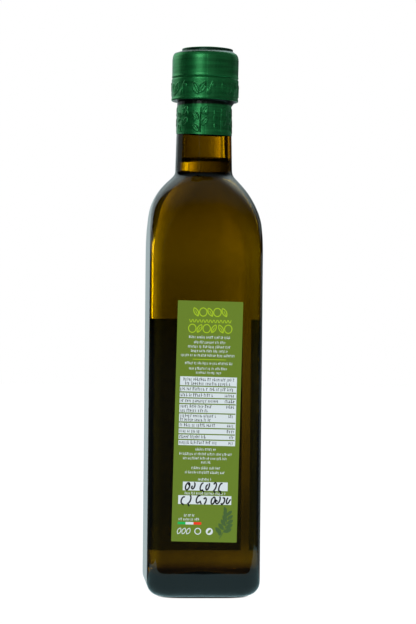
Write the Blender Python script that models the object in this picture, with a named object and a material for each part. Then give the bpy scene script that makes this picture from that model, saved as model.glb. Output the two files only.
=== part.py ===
"""A square half-litre olive oil bottle of dark glass, filled, capped and labelled.

The model stands on z = 0 with its middle on the Z axis. The back label faces -Y and the
front label faces +Y. Lengths are in metres; MM turns the driving dimensions into metres.
"""

import math

import bmesh
import bpy
from mathutils import Vector

MM = 0.001

# Driving dimensions of the glass
SIDE = 56.5 * MM
CORNER_RADIUS = 8.0 * MM
WALL = 2.6 * MM
HEEL_RADIUS = 7.6 * MM
CORNER_SHARE = 0.4
SHOULDER_START = 171.2 * MM
SHOULDER_END = 210.6 * MM
SHOULDER_DROP = 13.4 * MM
SHOULDER_POWER = 3.6
ROUNDING_POWER = 1.5
NECK_BLEND = 11
NECK_FOOT_Z = 214.0 * MM
NECK_FOOT_RADIUS = 14.5 * MM
NECK_TAPER = 0.0235
NECK_WALL = 2.8 * MM
MOUTH_Z = 268.0 * MM
LIP_BEVEL = 0.6 * MM

# The thick base: bearing band, hollow under it, and the floor inside
BAND_WIDTH = 3.6 * MM
PUNT_DEPTH = 3.5 * MM
FLOOR_Z = 10.3 * MM
FLOOR_RISE = 1.2 * MM
INNER_HEEL_RADIUS = 5.0 * MM

# The filling and the clearance that every piece keeps to the glass
FILL_Z = 219.0 * MM
CLEARANCE = 0.3 * MM

# The capsule over the closure and the top of the neck
CAPSULE_BOTTOM_Z = 230.6 * MM
CAPSULE_FILM = 0.25 * MM
CAP_BOTTOM_Z = 248.2 * MM
CAP_RADIUS = 16.95 * MM
CAP_FLARE = 1.8 * MM
CAP_UPPER_RADIUS = 16.8 * MM
GROOVE_Z = 259.5 * MM
GROOVE_DEPTH = 0.35 * MM
GROOVE_HALF_HEIGHT = 0.7 * MM
CAP_EDGE_Z = 269.6 * MM
CAP_EDGE_RADIUS = 2.2 * MM
TOP_DISC_RADIUS = 13.3 * MM
TOP_DISC_FOOT_Z = 272.3 * MM
TOP_Z = 274.8 * MM

# The two labels
LABEL_THICKNESS = 0.3 * MM
BACK_LABEL_SIZE = (32.4 * MM, 119.0 * MM)
BACK_LABEL_CENTRE = (0.6 * MM, 87.5 * MM)
BACK_LABEL_LEAN = math.radians(1.05)
FRONT_LABEL_SIZE = (38.0 * MM, 118.4 * MM)
FRONT_LABEL_CENTRE = (0.0 * MM, 78.8 * MM)
LABEL_CORNER = 0.8 * MM

# Fineness of the meshes. Ring levels are runs of (lowest, highest, count): body, shoulder, fillet, neck
POINTS_PER_CORNER = 8
RING_LEVELS = (
    (30.0 * MM, SHOULDER_START, 4),
    (178.0 * MM, 206.0 * MM, 9),
    (207.5 * MM, 216.5 * MM, 7),
    (224.0 * MM, 245.0 * MM, 2),
)
RING_MARGIN = 0.5 * MM
LABEL_CORNER_STEPS = 3


def material(name, colour, roughness, metallic=0.0, transmission=0.0):
    """A Principled material with one plain finish."""
    made = bpy.data.materials.new(name)
    made.use_nodes = True
    shader = made.node_tree.nodes["Principled BSDF"]
    shader.inputs["Base Color"].default_value = (*colour, 1.0)
    shader.inputs["Roughness"].default_value = roughness
    shader.inputs["Metallic"].default_value = metallic
    shader.inputs["Transmission Weight"].default_value = transmission
    made.diffuse_color = (*colour, 1.0)
    return made


def neck_radius(z):
    """The neck narrows evenly on its way up."""
    return NECK_FOOT_RADIUS - NECK_TAPER * (z - NECK_FOOT_Z)


def up_shoulder(z):
    """How far up the shoulder a height is, from 0 at its start to 1 at its end."""
    way_up = (z - SHOULDER_START) / (SHOULDER_END - SHOULDER_START)
    return min(max(way_up, 0.0), 1.0)


def roundness(z):
    """Corner radius as a share of the half side: small on the body, 1 where the section is a circle."""
    on_body = CORNER_RADIUS / (SIDE / 2)
    return on_body + (1 - on_body) * up_shoulder(z) ** ROUNDING_POWER


def outer_section(z):
    """Half side and corner radius of the glass at height z, above the heel."""
    neck = neck_radius(z)
    if z >= NECK_FOOT_Z:
        return neck, neck
    way_up = max(z - SHOULDER_START, 0.0) / (SHOULDER_END - SHOULDER_START)
    shoulder = SIDE / 2 - SHOULDER_DROP * way_up**SHOULDER_POWER
    half = (shoulder**NECK_BLEND + neck**NECK_BLEND) ** (1 / NECK_BLEND)
    return half, half * roundness(z)


def inner_section(z):
    """The outer section less the wall, which thickens a little towards the neck."""
    half, corner = outer_section(z)
    wall = WALL + (NECK_WALL - WALL) * up_shoulder(z)
    return half - wall, corner - wall


def section_ring(half, corner, z):
    """Points round a rounded square. With corner equal to half they share a circle evenly."""
    points = []
    for quarter in range(4):
        turn = math.radians(90 * quarter)
        for step in range(POINTS_PER_CORNER):
            angle = turn + math.radians(90) * (step + 0.5) / POINTS_PER_CORNER
            centre_x = (half - corner) * math.copysign(1, math.cos(turn + math.radians(45)))
            centre_y = (half - corner) * math.copysign(1, math.sin(turn + math.radians(45)))
            x = centre_x + corner * math.cos(angle)
            y = centre_y + corner * math.sin(angle)
            points.append(Vector((x, y, z)))
    return points


def heel_inset(height, radius):
    """How far a rounded lower edge has drawn in, at this height over its lowest point."""
    below = radius - min(max(height, 0.0), radius)
    return radius - math.sqrt(radius * radius - below * below)


def steps(low, high, count):
    """count values from low to high, both ends included."""
    return [low + (high - low) * i / (count - 1) for i in range(count)]


def ring_heights(low, high):
    """Heights for the rings between two levels: wide apart on the straight body, close on the shoulder."""
    wanted = [z for levels in RING_LEVELS for z in steps(*levels)]
    return [z for z in wanted if low + RING_MARGIN < z < high - RING_MARGIN]


def dome(half, corner, foot_z, rise, ways_out):
    """Rings of a low dome, round near the axis and a rounded square at its rim."""
    rings = []
    for way_out in ways_out:
        reach = half * way_out
        rounding = 1 - (1 - corner / half) * way_out**2
        height = rise * 0.5 * (1 + math.cos(math.pi * way_out))
        rings.append(section_ring(reach, reach * rounding, foot_z + height))
    return rings


def rounded_foot(section, foot_z, radius, count):
    """Rings that turn from the side into the bottom over the given edge radius."""
    rings = []
    for angle in steps(0.0, math.radians(90), count):
        height = radius * (1 - math.cos(angle))
        inset = heel_inset(height, radius)
        half, corner = section(foot_z + radius)
        corner -= CORNER_SHARE * inset
        rings.append(section_ring(half - inset, corner, foot_z + height))
    return rings


def outer_rings():
    """The outside of the glass, from the middle of its underside up to the mouth."""
    half, corner = outer_section(HEEL_RADIUS)
    band_half = half - HEEL_RADIUS - BAND_WIDTH
    band_corner = corner - CORNER_SHARE * HEEL_RADIUS
    rings = dome(band_half, band_corner, 0.0, PUNT_DEPTH, steps(0.15, 1.0, 6))
    rings += rounded_foot(outer_section, 0.0, HEEL_RADIUS, 8)
    for z in ring_heights(HEEL_RADIUS, MOUTH_Z):
        rings.append(section_ring(*outer_section(z), z))
    rings.append(section_ring(*outer_section(MOUTH_Z - LIP_BEVEL), MOUTH_Z - LIP_BEVEL))
    lip = neck_radius(MOUTH_Z) - LIP_BEVEL
    rings.append(section_ring(lip, lip, MOUTH_Z))
    return rings


def inner_rings(floor_z, top_z, gap):
    """The inside of the glass drawn in by gap, from the middle of the floor up to top_z."""

    def section(z):
        half, corner = inner_section(z)
        return half - gap, corner - gap

    foot_half, foot_corner = section(floor_z + INNER_HEEL_RADIUS)
    flat_half = foot_half - INNER_HEEL_RADIUS
    flat_corner = foot_corner - CORNER_SHARE * INNER_HEEL_RADIUS
    rings = dome(flat_half, flat_corner, floor_z, FLOOR_RISE, steps(0.2, 0.85, 4))
    rings += rounded_foot(section, floor_z, INNER_HEEL_RADIUS, 6)
    for z in ring_heights(floor_z + INNER_HEEL_RADIUS, top_z):
        rings.append(section_ring(*section(z), z))
    rings.append(section_ring(*section(top_z), top_z))
    return rings


def add_ring(mesh, points):
    return [mesh.verts.new(point) for point in points]


def join_rings(mesh, lower, upper):
    """A band of four-sided faces between two rings of the same number of points."""
    for i in range(len(lower)):
        after = (i + 1) % len(lower)
        mesh.faces.new((lower[i], lower[after], upper[after], upper[i]))


def close_ring(mesh, ring, height):
    """A fan from the ring to one point on the axis."""
    middle = mesh.verts.new((0.0, 0.0, height))
    for i in range(len(ring)):
        mesh.faces.new((ring[i], ring[(i + 1) % len(ring)], middle))


def loft(name, rings, finish, first_z, last_z):
    """One closed solid through the rings, closed at both ends by a point on the axis."""
    mesh = bmesh.new()
    placed = [add_ring(mesh, ring) for ring in rings]
    for lower, upper in zip(placed, placed[1:]):
        join_rings(mesh, lower, upper)
    close_ring(mesh, placed[0], first_z)
    close_ring(mesh, placed[-1], last_z)
    return finished(name, mesh, finish)


def finished(name, mesh, finish):
    """The mesh as a smooth-shaded object with its normals out and its sharp edges kept."""
    bmesh.ops.recalc_face_normals(mesh, faces=mesh.faces[:])
    data = bpy.data.meshes.new(name)
    mesh.to_mesh(data)
    mesh.free()
    data.shade_smooth()
    data.set_sharp_from_angle(angle=math.radians(35))
    data.materials.append(finish)
    made = bpy.data.objects.new(name, data)
    bpy.context.scene.collection.objects.link(made)
    return made


def make_glass_bottle():
    """Outside and inside are one surface that turns over at the mouth."""
    inside = inner_rings(FLOOR_Z, MOUTH_Z, 0.0)
    rings = outer_rings() + inside[::-1]
    finish = material("antique_green_glass", (0.09, 0.10, 0.02), 0.04, transmission=1.0)
    return loft("glass_bottle", rings, finish, PUNT_DEPTH, FLOOR_Z + FLOOR_RISE)


def make_oil():
    """The oil fills the body and stands level in the neck."""
    rings = inner_rings(FLOOR_Z + CLEARANCE, FILL_Z, CLEARANCE)
    finish = material("olive_oil", (0.55, 0.42, 0.03), 0.05, transmission=1.0)
    return loft("oil", rings, finish, FLOOR_Z + CLEARANCE + FLOOR_RISE, FILL_Z)


def capsule_outline():
    """Radius and height from the skirt's lower edge, up the outside, to the top disc."""
    skirt = CLEARANCE + CAPSULE_FILM
    skirt_top = CAP_BOTTOM_Z - CAP_FLARE
    outline = [
        (neck_radius(CAPSULE_BOTTOM_Z) + skirt, CAPSULE_BOTTOM_Z),
        (neck_radius(skirt_top) + skirt, skirt_top),
        (CAP_RADIUS - 0.5 * MM, CAP_BOTTOM_Z - 0.3 * MM),
        (CAP_RADIUS, CAP_BOTTOM_Z + 0.2 * MM),
        (CAP_RADIUS, GROOVE_Z - GROOVE_HALF_HEIGHT),
        (CAP_UPPER_RADIUS - GROOVE_DEPTH, GROOVE_Z),
        (CAP_UPPER_RADIUS, GROOVE_Z + GROOVE_HALF_HEIGHT),
    ]
    for angle in steps(0.0, math.radians(90), 5):
        radius = CAP_UPPER_RADIUS - CAP_EDGE_RADIUS * (1 - math.cos(angle))
        outline.append((radius, CAP_EDGE_Z + CAP_EDGE_RADIUS * math.sin(angle)))
    outline += [
        (TOP_DISC_RADIUS + 0.3 * MM, TOP_DISC_FOOT_Z),
        (TOP_DISC_RADIUS, TOP_DISC_FOOT_Z + 1.2 * MM),
        (TOP_DISC_RADIUS - 0.8 * MM, TOP_Z - 0.3 * MM),
        (TOP_DISC_RADIUS - 2.2 * MM, TOP_Z),
    ]
    return outline


def make_capsule():
    """The skirt and the capped closure are one turned solid with the neck's bore in it."""
    inside = []
    for z in (MOUTH_Z + CLEARANCE, CAPSULE_BOTTOM_Z):
        radius = neck_radius(z) + CLEARANCE
        inside.append(section_ring(radius, radius, z))
    outside = [section_ring(radius, radius, z) for radius, z in capsule_outline()]
    finish = material("green_capsule", (0.03, 0.20, 0.06), 0.35, metallic=0.6)
    return loft("capsule", inside + outside, finish, MOUTH_Z + CLEARANCE, TOP_Z)


def label_outline(width, height):
    """A rectangle with small round corners, anticlockwise, about its own middle."""
    points = []
    for quarter in range(4):
        turn = math.radians(90 * quarter)
        centre_x = (width / 2 - LABEL_CORNER) * math.copysign(1, math.cos(turn + math.radians(45)))
        centre_z = (height / 2 - LABEL_CORNER) * math.copysign(1, math.sin(turn + math.radians(45)))
        for angle in steps(turn, turn + math.radians(90), LABEL_CORNER_STEPS):
            x = centre_x + LABEL_CORNER * math.cos(angle)
            points.append((x, centre_z + LABEL_CORNER * math.sin(angle)))
    return points


def make_label(name, size, centre, lean, side, finish):
    """A thin plate just off the glass. side is -1 for the -Y face and 1 for the +Y face."""
    mesh = bmesh.new()
    near = side * (SIDE / 2 + CLEARANCE)
    far = near + side * LABEL_THICKNESS
    placed = []
    for y in (near, far):
        ring = []
        for x, z in label_outline(*size):
            turned_x = x * math.cos(lean) + z * math.sin(lean)
            turned_z = z * math.cos(lean) - x * math.sin(lean)
            ring.append(mesh.verts.new((centre[0] + turned_x, y, centre[1] + turned_z)))
        placed.append(ring)
    join_rings(mesh, *placed)
    for ring in placed:
        mesh.faces.new(ring)
    return finished(name, mesh, finish)


for old in list(bpy.data.objects):
    bpy.data.objects.remove(old, do_unlink=True)

label_green = material("label_green", (0.16, 0.25, 0.03), 0.45)

make_glass_bottle()
make_oil()
make_capsule()
make_label("back_label", BACK_LABEL_SIZE, BACK_LABEL_CENTRE, BACK_LABEL_LEAN, -1, label_green)
make_label("front_label", FRONT_LABEL_SIZE, FRONT_LABEL_CENTRE, 0.0, 1, label_green)
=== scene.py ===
# %% [markdown]
# # A square olive oil bottle
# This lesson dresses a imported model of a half-litre olive oil bottle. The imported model
# is the fixed frame: it says where the glass, the oil, the capsule and the labels are.
# Each piece here takes its place from that frame and gives it the finish of the real thing.

# %% Load the frame
import math
import random

import bmesh
import bpy
import numpy as np
from mathutils import Matrix, Vector, noise


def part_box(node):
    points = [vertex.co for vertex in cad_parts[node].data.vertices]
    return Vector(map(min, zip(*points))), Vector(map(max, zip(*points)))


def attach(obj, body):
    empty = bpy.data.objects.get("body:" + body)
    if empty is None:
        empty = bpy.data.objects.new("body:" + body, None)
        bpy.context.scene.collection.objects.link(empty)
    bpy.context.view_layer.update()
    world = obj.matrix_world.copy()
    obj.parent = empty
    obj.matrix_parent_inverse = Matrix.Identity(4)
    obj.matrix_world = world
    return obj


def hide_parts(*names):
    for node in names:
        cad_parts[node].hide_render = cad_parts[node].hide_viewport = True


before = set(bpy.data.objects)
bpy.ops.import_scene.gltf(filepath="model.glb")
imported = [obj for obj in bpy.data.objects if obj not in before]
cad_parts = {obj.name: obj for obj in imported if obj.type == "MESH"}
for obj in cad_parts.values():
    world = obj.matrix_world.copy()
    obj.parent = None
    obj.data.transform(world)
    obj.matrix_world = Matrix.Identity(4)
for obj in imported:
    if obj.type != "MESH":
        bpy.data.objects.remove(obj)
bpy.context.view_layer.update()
MM = 0.001
for node_name in sorted(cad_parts):
    low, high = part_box(node_name)
    print(node_name, "is", [round((b - a) / MM, 1) for a, b in zip(low, high)], "mm")

# %% [markdown]
# ## The camera
# The photograph was taken from about a metre away with a long lens, level with the middle
# of the bottle. The bottle is turned a few degrees, so that a thin strip of its left side
# shows, and the picture leans by half a degree. A camera could be aimed with a constraint,
# but a matrix made of three turns says each of those angles plainly.

# %% Set up the camera
PICTURE_HEIGHT_PX = 624
CAMERA_DISTANCE = 1.090
CAMERA_HEIGHT = 0.1416
CAMERA_AZIMUTH = math.radians(-4.4)
CAMERA_ROLL = math.radians(0.56)
METRES_PER_PIXEL = 0.5072 * MM
AXIS_LEFT_OF_CENTRE_PX = 5.25
SENSOR = 36.0

camera_data = bpy.data.cameras.new("camera")
camera_data.sensor_fit = "AUTO"
camera_data.sensor_width = SENSOR
camera_data.lens = SENSOR * CAMERA_DISTANCE / METRES_PER_PIXEL / PICTURE_HEIGHT_PX
camera_data.shift_x = AXIS_LEFT_OF_CENTRE_PX / PICTURE_HEIGHT_PX
camera = bpy.data.objects.new("camera", camera_data)
bpy.context.scene.collection.objects.link(camera)
camera_place = Vector((math.sin(CAMERA_AZIMUTH), -math.cos(CAMERA_AZIMUTH), 0.0)) * CAMERA_DISTANCE
camera_place.z = CAMERA_HEIGHT
camera.matrix_world = (
    Matrix.Translation(camera_place)
    @ Matrix.Rotation(CAMERA_AZIMUTH, 4, "Z")
    @ Matrix.Rotation(math.radians(90), 4, "X")
    @ Matrix.Rotation(CAMERA_ROLL, 4, "Z")
)
bpy.context.scene.camera = camera
print("lens", round(camera_data.lens, 1), "mm")

# %% [markdown]
# ## Helpers for meshes
# Most pieces of a bottle are skins through rings of points: the glass, the oil and the
# capsule. NumPy works out the rings, and one helper turns a grid of points into a closed
# mesh. Every finished piece rides on the model's one body and names its material slot.

# %% Build meshes from rings
BODY = "root"


def place_piece(name, mesh, finish, replaced=(), sharp_angle=40.0):
    """Turns a bmesh into a smooth-shaded piece that rides on the body."""
    data = bpy.data.meshes.new(name)
    mesh.to_mesh(data)
    mesh.free()
    data.materials.append(finish)
    data.shade_smooth()
    data.set_sharp_from_angle(angle=math.radians(sharp_angle))
    piece = bpy.data.objects.new(name, data)
    bpy.context.scene.collection.objects.link(piece)
    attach(piece, BODY)
    if replaced:
        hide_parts(*replaced)
    print(name, "has", len(data.polygons), "faces")
    return piece


def loft_rings(rings):
    """A closed mesh through rings of equally many points, each end closed by a point on the axis."""
    mesh = bmesh.new()
    placed = [[mesh.verts.new(point) for point in ring] for ring in rings]
    count = len(placed[0])
    for lower, upper in zip(placed, placed[1:]):
        for i in range(count):
            after = (i + 1) % count
            mesh.faces.new((lower[i], lower[after], upper[after], upper[i]))
    for ring in (placed[0], placed[-1]):
        height = sum(vert.co.z for vert in ring) / count
        middle = mesh.verts.new((0.0, 0.0, height))
        for i in range(count):
            mesh.faces.new((ring[i], ring[(i + 1) % count], middle))
    bmesh.ops.recalc_face_normals(mesh, faces=mesh.faces[:])
    return mesh


# %% [markdown]
# ## The form of the glass
# The body is a rounded square that turns into a circle on its way up the shoulder. The
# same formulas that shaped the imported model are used, only with many more points, because
# clear glass shows every facet in its reflections. Each point of a ring lies at a fixed
# angle round the axis, so the rings of the square body and the round neck match one to one.

# %% Name the sizes of the glass
glass_low, glass_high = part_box("glass_bottle")
HALF_SIDE = glass_high.x
MOUTH_Z = glass_high.z
CORNER_RADIUS = 8.0 * MM
HEEL_RADIUS = 7.6 * MM
HEEL_CORNER_SHARE = 0.4
SHOULDER_START = 170.8 * MM
SHOULDER_END = 210.2 * MM
SHOULDER_DROP = 13.4 * MM
SHOULDER_POWER = 3.6
ROUNDING_POWER = 1.5
NECK_BLEND = 15
NECK_FOOT_Z = 214.0 * MM
NECK_FOOT_RADIUS = 14.4 * MM
NECK_TAPER = 0.0235
BODY_WALL = 2.6 * MM
NECK_WALL = 3.2 * MM
INNER_CORNER_RADIUS = 3.2 * MM
BAND_WIDTH = 3.6 * MM
PUNT_DEPTH = 3.5 * MM
FLOOR_Z = 10.3 * MM
FLOOR_RISE = 1.2 * MM
INNER_HEEL_RADIUS = 5.0 * MM
FILL_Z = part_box("oil")[1].z
print("side", round(2 * HALF_SIDE / MM, 2), "mm, filled to", round(FILL_Z / MM, 1), "mm")

# %% Work out a section at any height
FLAT_STEPS = 9
CORNER_STEPS = 14
CORNER_FROM = math.radians(35.0)


def ring_angles():
    """Angles round the axis: wide apart along the flats and close together round the corners."""
    quarter = []
    for i in range(FLAT_STEPS):
        quarter.append(CORNER_FROM * i / FLAT_STEPS)
    corner_span = math.radians(90) - 2 * CORNER_FROM
    for i in range(CORNER_STEPS):
        quarter.append(CORNER_FROM + corner_span * i / CORNER_STEPS)
    for i in range(FLAT_STEPS):
        quarter.append(math.radians(90) - CORNER_FROM + CORNER_FROM * i / FLAT_STEPS)
    return np.array([angle + math.radians(90) * turn for turn in range(4) for angle in quarter])


ANGLES = ring_angles()


def section_points(half, corner, z):
    """Points of a rounded square, found by going out from the axis at each of ANGLES."""
    across = np.abs(np.cos(ANGLES))
    along = np.abs(np.sin(ANGLES))
    larger = np.maximum(across, along)
    smaller = np.minimum(across, along)
    centre = half - corner
    on_flat = half / larger
    reach_corner = centre * (larger + smaller)
    under_root = np.maximum(reach_corner**2 - 2 * centre**2 + corner**2, 0.0)
    on_corner = reach_corner + np.sqrt(under_root)
    reach = np.where(on_flat * smaller <= centre, on_flat, on_corner)
    heights = np.full_like(reach, z)
    return np.stack([reach * np.cos(ANGLES), reach * np.sin(ANGLES), heights], axis=1)


def up_shoulder(z):
    way_up = (z - SHOULDER_START) / (SHOULDER_END - SHOULDER_START)
    return min(max(way_up, 0.0), 1.0)


def neck_radius(z):
    return NECK_FOOT_RADIUS - NECK_TAPER * (z - NECK_FOOT_Z)


def outer_section(z):
    """Half side and corner radius of the outside at height z."""
    neck = neck_radius(z)
    if z >= NECK_FOOT_Z:
        return neck, neck
    way_up = max(z - SHOULDER_START, 0.0) / (SHOULDER_END - SHOULDER_START)
    shoulder = HALF_SIDE - SHOULDER_DROP * way_up**SHOULDER_POWER
    half = (shoulder**NECK_BLEND + neck**NECK_BLEND) ** (1 / NECK_BLEND)
    on_body = CORNER_RADIUS / HALF_SIDE
    return half, half * (on_body + (1 - on_body) * up_shoulder(z) ** ROUNDING_POWER)


def inner_section(z):
    """Half side and corner radius of the inside. Blown corners are thinner than the flats."""
    half, corner = outer_section(z)
    wall = BODY_WALL + (NECK_WALL - BODY_WALL) * up_shoulder(z)
    inner_half = half - wall
    on_body = INNER_CORNER_RADIUS / (HALF_SIDE - BODY_WALL)
    rounding = on_body + (1 - on_body) * up_shoulder(z) ** ROUNDING_POWER
    return inner_half, inner_half * rounding


# %% Stack the rings of the outside and the inside
def levels(low, high, step):
    return list(np.linspace(low, high, max(2, round((high - low) / step) + 1)))


def side_heights(low, high):
    """Heights for rings: even on the body, closer on the shoulder and closest where it meets the neck."""
    wanted = levels(HEEL_RADIUS, SHOULDER_START, 6 * MM) + levels(SHOULDER_START, 0.206, 1.4 * MM)[1:]
    wanted += levels(0.206, 0.217, 0.6 * MM)[1:] + levels(0.217, MOUTH_Z, 3 * MM)[1:]
    return [z for z in wanted if low + 0.3 * MM < z < high - 0.3 * MM]


def dome_rings(half, corner, foot_z, rise, count):
    """A low dome from near the axis out to a rounded square rim."""
    rings = []
    for way_out in np.linspace(0.06, 1.0, count):
        rounding = 1 - (1 - corner / half) * way_out**2
        height = rise * 0.5 * (1 + math.cos(math.pi * way_out))
        rings.append(section_points(half * way_out, half * way_out * rounding, foot_z + height))
    return rings


def heel_rings(section, foot_z, radius, count):
    """The rounded edge between the bottom and the sides."""
    rings = []
    half, corner = section(foot_z + radius)
    for angle in np.linspace(0.0, math.radians(90), count):
        inset = radius * (1 - math.sin(angle))
        rim_corner = max(corner - HEEL_CORNER_SHARE * inset, 0.2 * MM)
        height = foot_z + radius * (1 - math.cos(angle))
        rings.append(section_points(half - inset, rim_corner, height))
    return rings


def outside_rings():
    half, corner = outer_section(HEEL_RADIUS)
    band_half = half - HEEL_RADIUS - BAND_WIDTH
    band_corner = corner - HEEL_CORNER_SHARE * HEEL_RADIUS
    rings = dome_rings(band_half, band_corner, 0.0, PUNT_DEPTH, 14)
    rings += heel_rings(outer_section, 0.0, HEEL_RADIUS, 16)
    rings += [section_points(*outer_section(z), z) for z in side_heights(HEEL_RADIUS, MOUTH_Z)]
    return rings


def inside_rings(top_z, into_wall):
    """The inside up to top_z, drawn out into the glass by into_wall."""

    def section(z):
        half, corner = inner_section(z)
        return half + into_wall, corner + into_wall

    floor_z = FLOOR_Z - into_wall
    half, corner = section(floor_z + INNER_HEEL_RADIUS)
    flat_half = half - INNER_HEEL_RADIUS
    flat_corner = max(corner - HEEL_CORNER_SHARE * INNER_HEEL_RADIUS, 0.4 * MM)
    rings = dome_rings(flat_half, flat_corner, floor_z, FLOOR_RISE, 10)[:-1]
    rings += heel_rings(section, floor_z, INNER_HEEL_RADIUS, 12)
    heights = side_heights(floor_z + INNER_HEEL_RADIUS, top_z) + [top_z]
    rings += [section_points(*section(z), z) for z in heights]
    return rings


# %% [markdown]
# ## Uneven glass
# Blown glass is never quite even. Its outside follows the mould closely, while its inside
# is free and waves a little. Moving the points by a slow noise gives the soft, bent
# reflections of real glass. A bump in the shader would be simpler, but it wouldn't bend
# what is seen through the wall. The shoulder of this bottle also stands a little to one side.

# %% Move the points by a slow noise
OUTSIDE_WAVE = 0.035 * MM
INSIDE_WAVE = 0.09 * MM
WAVE_LENGTH = 17.0 * MM


SLIDE_HEIGHTS = np.array([0, 186, 190, 194, 198, 203, 206.5, 208.5, 211, 215, 300]) * MM
SLIDES = np.array([0, 0, 0.25, 0.60, 0.82, 0.82, 0.63, 0.42, 0.22, 0.25, 0.25]) * MM


def slide_at(z):
    """How far the shoulder and neck stand to the left of the body's middle."""
    return np.interp(z, SLIDE_HEIGHTS, SLIDES)


def waved(rings, depth, offset):
    """Each point goes in or out along its direction from the axis by up to depth."""
    moved = []
    for ring in rings:
        new_ring = []
        for x, y, z in ring:
            place = Vector((x, y, 0.45 * z)) / WAVE_LENGTH + Vector((offset, 0.0, 0.0))
            away = Vector((x, y, 0.0))
            shift = depth * noise.noise(place) * min(away.length / (10 * MM), 1.0)
            away.normalize()
            new_ring.append((x + away.x * shift - slide_at(z), y + away.y * shift, z))
        moved.append(new_ring)
    return moved


# %% [markdown]
# ## Glass and oil
# Dark bottle glass gets its colour in its depth: thin places glow amber yellow and thick
# ones are almost black. Volume Absorption does just that, because it darkens light by the
# distance that it travels. Painting the surface would colour the thin neck and the
# thick base alike. The oil is far clearer, and takes its colour over five centimetres.

# %% Make the two clear materials
def new_material(name):
    made = bpy.data.materials.new(name)
    made.use_nodes = True
    shader = made.node_tree.nodes["Principled BSDF"]
    output = made.node_tree.nodes["Material Output"]
    return made, made.node_tree, shader, output


def clear_material(name, refraction, absorbed_colour, density):
    """Clear glass or liquid with a plain surface and its colour in the volume."""
    made, tree, shader, output = new_material(name)
    shader.inputs["Base Color"].default_value = (1.0, 1.0, 1.0, 1.0)
    shader.inputs["Roughness"].default_value = 0.0
    shader.inputs["IOR"].default_value = refraction
    shader.inputs["Transmission Weight"].default_value = 1.0
    volume = tree.nodes.new("ShaderNodeVolumeAbsorption")
    volume.inputs["Color"].default_value = (*absorbed_colour, 1.0)
    volume.inputs["Density"].default_value = density
    tree.links.new(volume.outputs["Volume"], output.inputs["Volume"])
    return made


bottle_green = clear_material("bottle_green_glass", 1.52, (0.70, 0.635, 0.06), 1700.0)
golden_oil = clear_material("golden_oil", 1.47, (0.93, 0.90, 0.10), 46.0)

# %% Build the glass bottle
inside = waved(inside_rings(MOUTH_Z, 0.0), INSIDE_WAVE, 7.0)
outside = waved(outside_rings(), OUTSIDE_WAVE, 0.0)
lip_radius = neck_radius(MOUTH_Z) - 0.6 * MM
outside.append(section_points(lip_radius, lip_radius, MOUTH_Z) - np.array([slide_at(MOUTH_Z), 0.0, 0.0]))
glass = place_piece(
    "bottle_glass", loft_rings(outside + inside[::-1]), bottle_green, ["glass_bottle"]
)

# %% [markdown]
# ## The oil
# The oil touches the glass all over. If the two surfaces lay in the same place, the
# renderer couldn't tell which comes first, and a gap would look like a silvery air film.
# So the oil reaches a little way into the wall. At the top it climbs the glass in a small
# curve, the meniscus, which shows in the neck as a dark line.

# %% Build the oil with its meniscus
INTO_WALL = 0.05 * MM
MENISCUS_RISE = 2.2 * MM
MENISCUS_REACH = 1.2 * MM
LEVEL_Z = FILL_Z - 1.8 * MM

oil_rings = waved(inside_rings(LEVEL_Z + MENISCUS_RISE, INTO_WALL), INSIDE_WAVE, 7.0)
neck_half = inner_section(LEVEL_Z)[0] + INTO_WALL
for distance in np.linspace(0.15, 5.0, 14) * MENISCUS_REACH:
    radius = neck_half - distance
    height = LEVEL_Z + MENISCUS_RISE * math.exp(-distance / MENISCUS_REACH)
    oil_rings.append(section_points(radius, radius, height) - np.array([slide_at(height), 0.0, 0.0]))
oil = place_piece("oil_filling", loft_rings(oil_rings), golden_oil, ["oil"])

# %% [markdown]
# ## The capsule
# A thin green film is shrunk over the closure and the top of the neck. It is a turned
# shape with a groove, a raised disc on top and a skirt, and its film is pressed with
# leaves and olives. Relief like that could be a bump map, but then its outline would stay
# smooth, so the points of a fine grid are moved instead.

# %% Turn the capsule's outline
capsule_low, capsule_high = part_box("capsule")
SKIRT_FOOT_Z = capsule_low.z
TOP_Z = capsule_high.z
FILM = 0.12 * MM
CAP_FOOT_Z = 248.2 * MM
CAP_RADIUS = 16.97 * MM
CAP_UPPER_RADIUS = 16.87 * MM
GROOVE_Z = 259.5 * MM
BEVEL_FOOT_Z = 272.2 * MM
DISC_RADIUS = 12.9 * MM
DISC_FOOT_Z = 273.3 * MM
GRID_STEP = 0.22 * MM


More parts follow.
